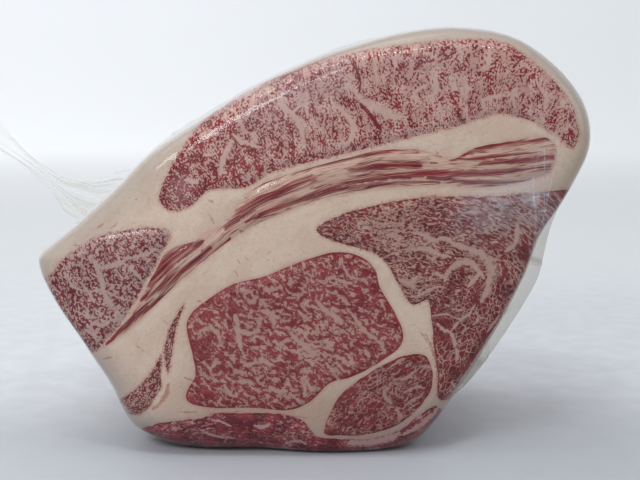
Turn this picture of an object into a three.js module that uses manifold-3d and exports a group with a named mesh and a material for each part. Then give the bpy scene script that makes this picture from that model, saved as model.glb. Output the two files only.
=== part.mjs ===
// A block of marbled beef from the rib end of a loin, cut square across at both ends and packed
// in a clear vacuum bag. It stands on its rib side, with one cut face to the front.
// Millimetres, +Z up, +X to the right of the front face, +Y from the front face to the back one.
// Each muscle is a solid that runs through the block, and the fat around them all is one solid.
// The bag lies skin-tight on the meat, so only what stands off it is solid: its gathered tail
// on the left, and the film that bridges the hollow in the right flank.

import * as THREE from "three";
import { mergeVertices } from "three/addons/utils/BufferGeometryUtils.js";
import Module from "manifold-3d";

const wasm = await Module();
wasm.setup();

// Driving dimensions
const blockDepth = 160; // between the rims of the two cut faces
const faceBulge = 6; // how far the middle of a cut face stands out beyond its rim
const muscleProud = 0.9; // the muscles stand this far out of the fat on the cut faces
const seamGap = 0.3; // clearance between neighbouring solids
const faceCentre = { x: 0, z: 106 }; // the block tapers and rounds towards this line
const backTaper = 0.05; // the back face is smaller than the front one by this share
const backLift = 3; // and its muscles lie this much higher
const sag = 9; // the soft underside sinks this far between the rims, onto the table
const sagHeight = 60; // the sinking dies out at this height
const sagStart = 22; // and is full this far behind either rim
const middleShare = 1.01; // the block is a little fuller than its outline halfway along
const waver = { share: 0.011, lobes: 3, pitch: 27, from: 32, full: 80 }; // unevenness of the sides

// Fineness
const outlineSteps = 2; // pieces between two points of a muscle's outline
const depthSteps = 2; // pieces along the depth of a muscle's wall
const aroundBlock = 72; // points around the block
const runOver = 10; // a muscle's outline runs this far past the faces before it is trimmed
const mergeDistance = 1e-3;
const sharpestTurn = 0.5; // keeps a sharp corner from moving out too far

// The cut face, as [x, z]. The outer outline runs clockwise from the left corner.
const blockOutline = [
  [-144, 102], [-137, 109], [-123, 120], [-103, 138], [-86, 155], [-61, 172], [-25, 193],
  [12, 209], [42, 217], [75, 221], [103, 216], [126, 201], [141, 181], [144, 162], [138, 146],
  [128, 128], [119, 114], [112, 94], [100, 69], [87, 48], [72, 27], [57, 11], [39, 4], [9, 0],
  [-12, 2], [-29, 5], [-54, 5], [-78, 9], [-96, 18], [-108, 38], [-121, 57], [-136, 80],
];

// Each muscle's outline. Points outside the block only carry a muscle out to its surface.
const muscles = {
  cap_muscle: {
    colour: 0xa5626c,
    points: [
      [-77, 136], [-75, 131], [-69, 129], [-61, 131.5], [-52, 139.5], [-33, 141], [-22, 147.5],
      [-6, 152.5], [25, 160], [51, 166.5], [76, 172.5], [92, 177.5], [107, 175], [121, 167.5],
      [131, 160.5], [134, 167], [132, 178], [124, 191], [110, 203.5], [96, 212.5], [74, 214],
      [44, 211], [-9, 199], [-32, 190], [-47, 181], [-59, 169], [-70, 152.5],
    ],
  },
  flank_muscle: {
    colour: 0xa05a64,
    points: [
      [-133, 96], [-127, 103.5], [-110, 115], [-98, 118], [-76, 120], [-71.5, 117.5],
      [-73, 113.5], [-82.5, 96.5], [-93, 78.5], [-107, 60.5], [-122, 50], [-140, 60], [-150, 84],
    ],
  },
  layered_muscle: {
    colour: 0x9c4f5b,
    points: [
      [-107, 58.5], [-92, 75.5], [-86.5, 85.5], [-78, 101], [-73, 109], [-58.5, 114],
      [-51.5, 118.5], [-43, 123], [-37, 132], [-28, 141], [-13, 147], [9, 153.5], [34, 159.5],
      [55, 159.5], [70, 155], [81, 160.5], [100, 164], [117, 166], [122.5, 160], [120, 149],
      [110, 144.5], [86, 141], [40, 141], [10, 136.5], [-8, 131], [-34, 119],
      [-54, 104.5], [-73, 87.5], [-91, 70],
    ],
  },
  eye_muscle: {
    colour: 0x8c3d4b,
    points: [
      [-64, 70], [-61.5, 76.5], [-52, 84.5], [-39.5, 92], [-24, 96], [-11, 101.5], [3, 106.5],
      [14, 108.5], [24.5, 106], [31.5, 100], [34.5, 90], [42, 77], [46.5, 66], [45, 59.5],
      [32, 49.5], [19.5, 43], [9, 40], [-1, 30], [-11.5, 25.5], [-53, 26.5],
      [-64, 29.5], [-60, 44], [-61, 54],
    ],
  },
  side_muscle: {
    colour: 0x8f4452,
    points: [
      [2, 120], [9.5, 125], [37, 133], [56, 136], [95, 136.5], [130, 139], [150, 136], [142, 110],
      [128, 82], [112, 55], [94, 34], [76, 28], [66, 30], [64.5, 45], [62.5, 57], [61, 72],
      [58.5, 83.5], [51.5, 81], [42.5, 94], [38.5, 101.5], [32.5, 107], [25, 110], [11, 114],
    ],
  },
  lower_muscle: {
    colour: 0x8b4150,
    points: [
      [43, 53], [51, 55], [58, 54], [61.5, 47], [61.5, 37], [57, 28.5], [50, 21], [42, 15.5],
      [28, 11.5], [14, 11], [6.5, 12], [7, 18], [13.5, 32], [20, 38.5], [29, 45],
    ],
  },
  rib_muscle: {
    colour: 0x7d2f3f,
    points: [
      [-84, 15], [-69, 19], [-58, 20.5], [-52, 23], [-31, 23.5], [-13, 22.5], [-4, 18.5], [1, 12],
      [6, 9.5], [14, 9], [28, 8.5], [40, 11], [48, 15], [56, 22], [64, 26], [70, 18], [66, 4],
      [60, -8], [-6, -14], [-66, -12], [-96, 4],
    ],
  },
  upper_sliver: {
    colour: 0x9a525d,
    points: [
      [-65, 81.5], [-69.5, 69], [-71.5, 58], [-73, 50], [-74, 45], [-76, 52], [-75, 61],
      [-72.5, 69],
    ],
  },
  lower_sliver: {
    colour: 0x9a525d,
    points: [
      [-77, 55], [-78, 46], [-78, 38], [-81, 32], [-86, 25], [-94, 20], [-104, 24], [-97, 31],
      [-89, 38], [-82, 46.5],
    ],
  },
};
const fatColour = 0xd9bfb2;
const filmColour = 0xe9ebe8;

// How a cut face turns over into the sides: share of the full outline, distance behind the rim.
const faceRounding = [[0, -1], [0.45, -0.72], [0.75, -0.3], [0.88, 0]]; // shares of faceBulge
const rimRounding = [[0.945, 3.5], [0.985, 12], [1, 28]]; // millimetres behind the rim

// The gathered tail of the bag, from the meat to its open end
const tail = {
  path: [[-112, 38, 114], [-139, 34, 123], [-155, 31, 134], [-168, 28, 145], [-190, 25, 164]],
  width: [23, 11, 4.4, 3.2, 6.5], // half, up and down, at evenly spaced stations
  depth: [17, 9, 4, 3, 3.5], // half, front to back
  flutes: 7,
  fluteShare: 0.13,
  around: 28,
  along: 12,
};

// The film that bridges the hollow in the right flank: its taut outer side from the cap down, then
// points inside the block. It stands off the meat most near the front, and dies out to the back.
const bridge = {
  points: [
    [137, 146], [131, 131], [125.5, 116], [122.5, 102], [120, 91], [113.5, 78], [104.5, 63],
    [96, 50], [86.5, 37], [77, 27.5], [66, 20], [74, 50], [98, 96], [116, 132],
  ],
  from: -76,
  to: 62,
  fullest: -54,
  sink: 14,
  steps: 6,
};

const smooth = (t) => THREE.MathUtils.smoothstep(t, 0, 1);

// Along the depth, the whole section shrinks a little towards its centre and rises.
function drift(x, y, z) {
  const t = y / blockDepth + 0.5;
  const share = 1 - backTaper * t * t;
  const lift = backLift * smooth(t);
  return new THREE.Vector3(
    faceCentre.x + (x - faceCentre.x) * share,
    y,
    faceCentre.z + (z - faceCentre.z) * share + lift,
  );
}

// The smooth closed curve through points given as [x, z].
function closedCurve(points) {
  const places = points.map(([x, z]) => new THREE.Vector3(x, 0, z));
  return new THREE.CatmullRomCurve3(places, true, "centripetal");
}

// The unit vector square to the line from a to b, on the outer side of a ring.
function sideways(a, b, outwards) {
  const along = b.clone().sub(a).normalize().multiplyScalar(outwards);
  return new THREE.Vector2(-along.y, along.x);
}

// A ring of points on a closed curve, moved out by grow, so that each of its sides lies that far off.
function ringOf(curvePoints, grow = 0) {
  const ring = curvePoints.slice(0, -1).map((p) => new THREE.Vector2(p.x, p.z));
  const total = ring.length;
  const outwards = THREE.ShapeUtils.isClockWise(ring) ? 1 : -1;
  return ring.map((p, i) => {
    const before = sideways(ring[(i + total - 1) % total], p, outwards);
    const after = sideways(p, ring[(i + 1) % total], outwards);
    const corner = before.clone().add(after).divideScalar(Math.max(sharpestTurn, 1 + before.dot(after)));
    return p.clone().addScaledVector(corner, grow);
  });
}

// A muscle's outline, finest where its points lie closest.
function muscleOutline(points, grow) {
  return ringOf(closedCurve(points).getPoints(points.length * outlineSteps), grow);
}

// A closed geometry as a solid that can be cut and joined.
function solidOf(geometry) {
  const bare = geometry.clone();
  bare.deleteAttribute("normal");
  bare.deleteAttribute("uv");
  const merged = mergeVertices(bare, mergeDistance);
  return new wasm.Manifold(
    new wasm.Mesh({
      numProp: 3,
      vertProperties: new Float32Array(merged.attributes.position.array),
      triVerts: new Uint32Array(merged.index.array),
    }),
  );
}

// A solid as a named mesh with its own material.
function meshOf(name, solid, colour, finish = {}) {
  const { vertProperties, triVerts } = solid.getMesh();
  const geometry = new THREE.BufferGeometry();
  geometry.setAttribute("position", new THREE.BufferAttribute(new Float32Array(vertProperties), 3));
  geometry.setIndex(new THREE.BufferAttribute(new Uint32Array(triVerts), 1));
  geometry.computeVertexNormals();
  const material = new THREE.MeshStandardMaterial({
    color: colour,
    roughness: 0.28,
    metalness: 0,
    ...finish,
  });
  const mesh = new THREE.Mesh(geometry, material);
  mesh.name = name;
  return mesh;
}

// Share of the outline and depth of each ring of the block, from the front face to the back one.
function blockProfile(stretch) {
  const rim = blockDepth / 2;
  const front = [
    ...faceRounding.map(([share, out]) => [share, -rim + faceBulge * out]),
    ...rimRounding.map(([share, behind]) => [share, -rim + behind]),
  ];
  const middle = [[middleShare, -rim / 4], [middleShare, rim / 4]];
  const back = front.map(([share, y]) => [share, -y]).reverse();
  return [...front, ...middle, ...back].map(
    ([share, y]) => new THREE.Vector2(share, y + Math.sign(y) * stretch),
  );
}

// The whole block: the outline turned about the depth axis, rounded at both faces, slightly
// uneven behind the front, and sunk onto the table below.
function blockSolid(stretch = 0, clearance = 0) {
  const profile = blockProfile(stretch);
  const outline = ringOf(closedCurve(blockOutline).getSpacedPoints(aroundBlock), clearance);
  const geometry = new THREE.LatheGeometry(profile, aroundBlock);
  const position = geometry.attributes.position;
  for (let i = 0; i <= aroundBlock; i++) {
    const edge = outline[i % aroundBlock];
    profile.forEach(({ x: share, y }, j) => {
      const grown = smooth((y + blockDepth / 2 - waver.from) / (waver.full - waver.from));
      const angle = (2 * Math.PI * (i % aroundBlock)) / aroundBlock;
      const wave = waver.share * grown * Math.sin(waver.lobes * angle + y / waver.pitch);
      const uneven = 1 + wave * share;
      const x = faceCentre.x + (edge.x - faceCentre.x) * share * uneven;
      const z = faceCentre.z + (edge.y - faceCentre.z) * share * uneven;
      const place = drift(x, y, z);
      const low = THREE.MathUtils.clamp(1 - place.z / sagHeight, 0, 1);
      const inside = smooth((blockDepth / 2 - Math.abs(y)) / sagStart);
      place.z = Math.max(-clearance, place.z - sag * low * inside);
      position.setXYZ(i * profile.length + j, place.x, place.y, place.z);
    });
  }
  return solidOf(geometry);
}

// An outline run along the depth of the block. bend gives the final place of each point.
function outlineRun(outline, from, to, steps, bend) {
  const geometry = new THREE.ExtrudeGeometry(new THREE.Shape(outline), {
    depth: to - from,
    steps,
    bevelEnabled: false,
  });
  const position = geometry.attributes.position;
  for (let i = 0; i < position.count; i++) {
    const place = bend(position.getX(i), to - position.getZ(i), position.getY(i));
    position.setXYZ(i, place.x, place.y, place.z);
  }
  return solidOf(geometry);
}

// A muscle before it is trimmed: its outline run through the block and past both faces.
function muscleRun(points, grow) {
  const reach = blockDepth / 2 + faceBulge + runOver;
  return outlineRun(muscleOutline(points, grow), -reach, reach, depthSteps, drift);
}

// Value at t of a list of evenly spaced stations.
function station(values, t) {
  const at = t * (values.length - 1);
  const low = Math.min(Math.floor(at), values.length - 2);
  return THREE.MathUtils.lerp(values[low], values[low + 1], smooth(at - low));
}

// The fluted cone of gathered film, which narrows to a twist and opens again.
function tailSolid() {
  const path = new THREE.CatmullRomCurve3(tail.path.map((p) => new THREE.Vector3(...p)));
  const geometry = new THREE.CylinderGeometry(1, 1, 1, tail.around, tail.along);
  const position = geometry.attributes.position;
  for (let i = 0; i < position.count; i++) {
    const t = 0.5 - position.getY(i);
    const centre = path.getPoint(t);
    const along = path.getTangent(t);
    const up = new THREE.Vector3(-along.z, 0, along.x).normalize().multiplyScalar(-1);
    const angle = Math.atan2(position.getZ(i), position.getX(i));
    const radius = Math.hypot(position.getX(i), position.getZ(i));
    const flute = 1 + tail.fluteShare * Math.cos(tail.flutes * angle);
    centre.addScaledVector(up, station(tail.width, t) * flute * radius * Math.cos(angle));
    centre.y += station(tail.depth, t) * flute * radius * Math.sin(angle);
    position.setXYZ(i, centre.x, centre.y, centre.z);
  }
  return solidOf(geometry);
}

// The bridging film before the block is cut from it. It sinks into the flank towards both ends.
function bridgeSolid() {
  const outline = ringOf(closedCurve(bridge.points).getPoints(bridge.points.length * 2));
  return outlineRun(outline, bridge.from, bridge.to, bridge.steps, (x, y, z) => {
    const end = y < bridge.fullest ? bridge.from : bridge.to;
    const away = (y - bridge.fullest) / (end - bridge.fullest);
    return drift(x - bridge.sink * away * away, y, z);
  });
}

// The largest of the pieces that a cut leaves.
function largestPiece(solid) {
  return solid.decompose().sort((a, b) => b.volume() - a.volume())[0];
}

const block = new THREE.Group();
const fatBlock = blockSolid();
const muscleBlock = blockSolid(muscleProud);
const clearBlock = blockSolid(seamGap, 2 * seamGap);

let fat = fatBlock;
for (const [name, { points, colour }] of Object.entries(muscles)) {
  fat = fat.subtract(muscleRun(points, seamGap));
  block.add(meshOf(name, largestPiece(muscleBlock.intersect(muscleRun(points))), colour));
}
block.add(meshOf("fat", largestPiece(fat), fatColour));

const film = { transparent: true, opacity: 0.35, roughness: 0.1 };
block.add(meshOf("bag_tail", largestPiece(tailSolid().subtract(clearBlock)), filmColour, film));
block.add(meshOf("bag_bridge", largestPiece(bridgeSolid().subtract(clearBlock)), filmColour, film));

export default block;
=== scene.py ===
# A block of marbled beef in a clear vacuum bag, on a pale table.
# Sizes are in millimetres, as on the bench; readPlaces and movePlaces turn metres into them and back.
import math

import bpy
import numpy as np
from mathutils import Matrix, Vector, kdtree, noise


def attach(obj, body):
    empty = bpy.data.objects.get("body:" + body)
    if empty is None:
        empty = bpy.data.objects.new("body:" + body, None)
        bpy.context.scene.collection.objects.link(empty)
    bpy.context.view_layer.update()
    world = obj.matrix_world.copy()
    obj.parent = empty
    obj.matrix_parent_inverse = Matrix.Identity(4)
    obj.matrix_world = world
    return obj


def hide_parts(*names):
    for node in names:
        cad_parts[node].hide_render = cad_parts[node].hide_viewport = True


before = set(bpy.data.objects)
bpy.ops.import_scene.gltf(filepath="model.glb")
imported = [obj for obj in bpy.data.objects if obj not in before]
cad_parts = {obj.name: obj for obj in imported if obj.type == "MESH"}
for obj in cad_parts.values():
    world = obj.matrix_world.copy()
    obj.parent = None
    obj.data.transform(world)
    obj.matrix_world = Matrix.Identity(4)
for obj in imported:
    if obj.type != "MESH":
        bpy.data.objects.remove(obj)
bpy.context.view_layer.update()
mm = 0.001


def say(text):
    print("beef block:", text)


say(f"{len(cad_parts)} solids to dress")


# Small tools for the bench

def smooth(t):
    t = np.clip(t, 0, 1)
    return t * t * (3 - 2 * t)


def only(piece):
    bpy.ops.object.select_all(action="DESELECT")
    piece.select_set(True)
    bpy.context.view_layer.objects.active = piece


def readPlaces(piece):
    flat = np.empty(len(piece.data.vertices) * 3)
    piece.data.vertices.foreach_get("co", flat)
    return flat.reshape(-1, 3) / mm


def readNormals(piece):
    flat = np.empty(len(piece.data.vertices) * 3)
    piece.data.vertices.foreach_get("normal", flat)
    return flat.reshape(-1, 3)


def movePlaces(piece, places):
    piece.data.vertices.foreach_set("co", (places * mm).ravel())
    piece.data.update()


def copyOf(piece, name):
    twin = piece.copy()
    twin.data = piece.data.copy()
    twin.name = name
    twin.data.name = name
    bpy.context.collection.objects.link(twin)
    return twin


def modify(piece, kind, **settings):
    only(piece)
    modifier = piece.modifiers.new(kind.title(), kind)
    for name, value in settings.items():
        setattr(modifier, name, value)
    bpy.ops.object.modifier_apply(modifier=modifier.name)


def discard(piece):
    bpy.data.meshes.remove(piece.data)


def editing(on):
    bpy.ops.object.mode_set(mode="EDIT" if on else "OBJECT")


def shadeSmooth(piece):
    only(piece)
    bpy.ops.object.shade_smooth()


# Outlines and lines are listed flat, as x, z, x, z
def pairs(flat):
    return np.reshape(flat, (-1, 2))


# The smooth curve through points: the same centripetal curve that the solids were drawn with
def smoothCurve(points, steps, closed=True):
    p = np.array(points, float)
    count = len(p) if closed else len(p) - 1
    curve = []
    for i in range(count):
        if closed:
            a, b, c, d = (p[(i + k) % len(p)] for k in (-1, 0, 1, 2))
        else:
            b, c = p[i], p[i + 1]
            a = p[i - 1] if i else 2 * b - c
            d = p[i + 2] if i + 2 < len(p) else 2 * c - b
        before, here, after = (np.linalg.norm(q - r) ** 0.5 for q, r in ((b, a), (c, b), (d, c)))
        out = ((b - a) / before - (c - a) / (before + here) + (c - b) / here) * here
        into = ((c - b) / here - (d - b) / (here + after) + (d - c) / after) * here
        for t in np.arange(steps) / steps:
            bend = (3 * (c - b) - 2 * out - into) * t ** 2
            curve.append(b + out * t + bend + (2 * (b - c) + out + into) * t ** 3)
    if not closed:
        curve.append(p[-1])
    return np.array(curve)


# How far along a track each of its points lies
def runOf(track):
    return np.concatenate([[0], np.cumsum(np.linalg.norm(np.diff(track, axis=0), axis=1))])


# Points at even distances along a curve
def evenly(curve, count, closed=True):
    track = np.vstack([curve, curve[:1]]) if closed else curve
    run = runOf(track)
    at = np.linspace(0, run[-1], count, endpoint=not closed)
    return np.column_stack([np.interp(at, run, track[:, k]) for k in range(track.shape[1])])


# The block

block = {
    "centre": (0, 106),
    "depth": 160,
    "backTaper": 0.05,
    "backLift": 3,
    "sag": 9,
    "sagHeight": 60,
    "sagStart": 22,
    "waver": {"share": 0.011, "lobes": 3, "pitch": 27, "start": 32, "full": 80},
    "outline": [-144, 102, -137, 109, -123, 120, -103, 138, -86, 155, -61, 172, -25, 193, 12, 209,
        42, 217, 75, 221, 103, 216, 126, 201, 141, 181, 144, 162, 138, 146, 128, 128, 119, 114, 112, 94,
        100, 69, 87, 48, 72, 27, 57, 11, 39, 4, 9, 0, -12, 2, -29, 5, -54, 5, -78, 9, -96, 18, -108, 38,
        -121, 57, -136, 80],
    # from a pole to the middle: share of the outline, distance behind the rim of the cut face
    "profile": [
        (0.02, -6), (0.45, -4.3), (0.75, -1.8), (0.88, 0), (0.945, 3.5), (0.985, 12), (1, 28),
        (1.01, 60), (1.01, 80),
    ],
    "around": 300,
    "outlineSteps": 8,
    "stretchSteps": 4,
    "voxel": 1.47,
    "fineFrom": -73,  # the front cut face, in front of this depth, gets twice as fine a mesh
    "swell": 0.5,  # low waves all over the surface
    "swellPitch": 24,
    "muscleProud": 0.9,
    "softEdge": 4.0,
    "groove": 0.22,
    "faceFrom": 0.35,  # a normal's share along Y from which it belongs to a cut face
    "faceSpan": 0.4,
    "creaseAngle": 38,
}
blockCurve = evenly(smoothCurve(pairs(block["outline"]), block["outlineSteps"]), block["around"])


# How much the block has shrunk and risen at each depth
def leaning(y):
    t = y / block["depth"] + 0.5
    return 1 - block["backTaper"] * t * t, block["backLift"] * smooth(t)


def drift(places):
    x, y, z = places.T
    share, lift = leaning(y)
    cx, cz = block["centre"]
    return np.column_stack([cx + (x - cx) * share, y, cz + (z - cz) * share + lift])


# Where a point of the block lies on the front face's plan, as (x, z)
def onPlan(places):
    x, y, z = places.T
    share, lift = leaning(y)
    cx, cz = block["centre"]
    return np.column_stack([cx + (x - cx) / share, cz + (z - lift - cz) / share])


# The drawn block is straight; this makes its sides uneven, shrinks it to the back and sinks it
def settle(places):
    cx, cz = block["centre"]
    waver = block["waver"]
    edge = blockCurve - block["centre"]
    bearings = np.arctan2(edge[:, 1], edge[:, 0])
    order = np.argsort(bearings)
    turns = 2 * np.pi * np.arange(len(edge)) / len(edge)
    x, y, z = places.T
    bearing = np.arctan2(z - cz, x - cx)
    reach = np.interp(bearing, bearings[order], np.hypot(*edge.T)[order], period=2 * np.pi)
    swing = [np.interp(bearing, bearings[order], part(turns)[order], period=2 * np.pi)
             for part in (np.cos, np.sin)]
    turn = np.arctan2(swing[1], swing[0])
    share = np.hypot(x - cx, z - cz) / reach
    fromFront = y + block["depth"] / 2
    grown = smooth((fromFront - waver["start"]) / (waver["full"] - waver["start"]))
    wave = waver["share"] * grown * np.sin(waver["lobes"] * turn + y / waver["pitch"]) * share
    bent = drift(np.column_stack([cx + (x - cx) * (1 + wave), y, cz + (z - cz) * (1 + wave)]))
    low = np.clip(1 - bent[:, 2] / block["sagHeight"], 0, 1)
    inside = smooth((block["depth"] / 2 - np.abs(y)) / block["sagStart"])
    bent[:, 2] = np.maximum(0, bent[:, 2] - block["sag"] * low * inside)
    return bent


# A closed ring of points, filled, drawn out along +Y; stations are (share of the ring, y)
def drawnOut(name, ring, stations, centre):
    bpy.ops.object.select_all(action="DESELECT")
    bpy.ops.mesh.primitive_circle_add(vertices=len(ring), fill_type="NGON")
    piece = bpy.context.object
    piece.name = name
    piece.data.name = name
    share, y = stations[0]
    ring = np.array(centre) + (ring - np.array(centre)) * share
    movePlaces(piece, np.column_stack([ring[:, 0], np.full(len(ring), y), ring[:, 1]]))
    editing(True)
    bpy.ops.mesh.select_all(action="SELECT")
    for nextShare, nextY in stations[1:]:
        step = (nextY - y) * mm
        bpy.ops.mesh.extrude_region_move(TRANSFORM_OT_translate={"value": (0, step, 0)})
        if nextShare != share:
            grow = nextShare / share
            middle = (centre[0] * mm, nextY * mm, centre[1] * mm)
            bpy.ops.transform.resize(value=(grow, 1, grow), center_override=middle)
        share, y = nextShare, nextY
    bpy.ops.mesh.select_all(action="SELECT")
    bpy.ops.mesh.normals_make_consistent(inside=False)
    editing(False)
    return piece


def buildBlock(name, voxel):
    rim = -block["depth"] / 2
    half = smoothCurve([(share, rim + behind) for share, behind in block["profile"]],
                       block["stretchSteps"], closed=False)
    stations = [tuple(row) for row in half] + [(share, -y) for share, y in half[-2::-1]]
    piece = drawnOut(name, blockCurve, stations, block["centre"])
    movePlaces(piece, settle(readPlaces(piece)))
    modify(piece, "REMESH", mode="VOXEL", voxel_size=voxel * mm)
    modify(piece, "SMOOTH", factor=0.5, iterations=4)
    return piece


# Cuts the faces for which where(x, y, z) holds into smaller ones
def refine(piece, where, cuts):
    only(piece)
    editing(True)
    bpy.ops.mesh.select_all(action="DESELECT")
    editing(False)
    for face in piece.data.polygons:
        face.select = where(*(face.center / mm))
    editing(True)
    bpy.ops.mesh.select_mode(type="FACE")
    bpy.ops.mesh.subdivide(number_cuts=cuts, quadcorner="INNERVERT")
    editing(False)


say("drawing the block")
blank = buildBlock("beef_block", block["voxel"])
refine(blank, lambda x, y, z: y < block["fineFrom"], 1)
say(f"block of {len(blank.data.polygons)} faces")


# The muscles: each outline as on the cut face, its fibres' line, its veins of fat and its red
# threads (half their width, then points), and its tone (middle, radius, amount)

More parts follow.
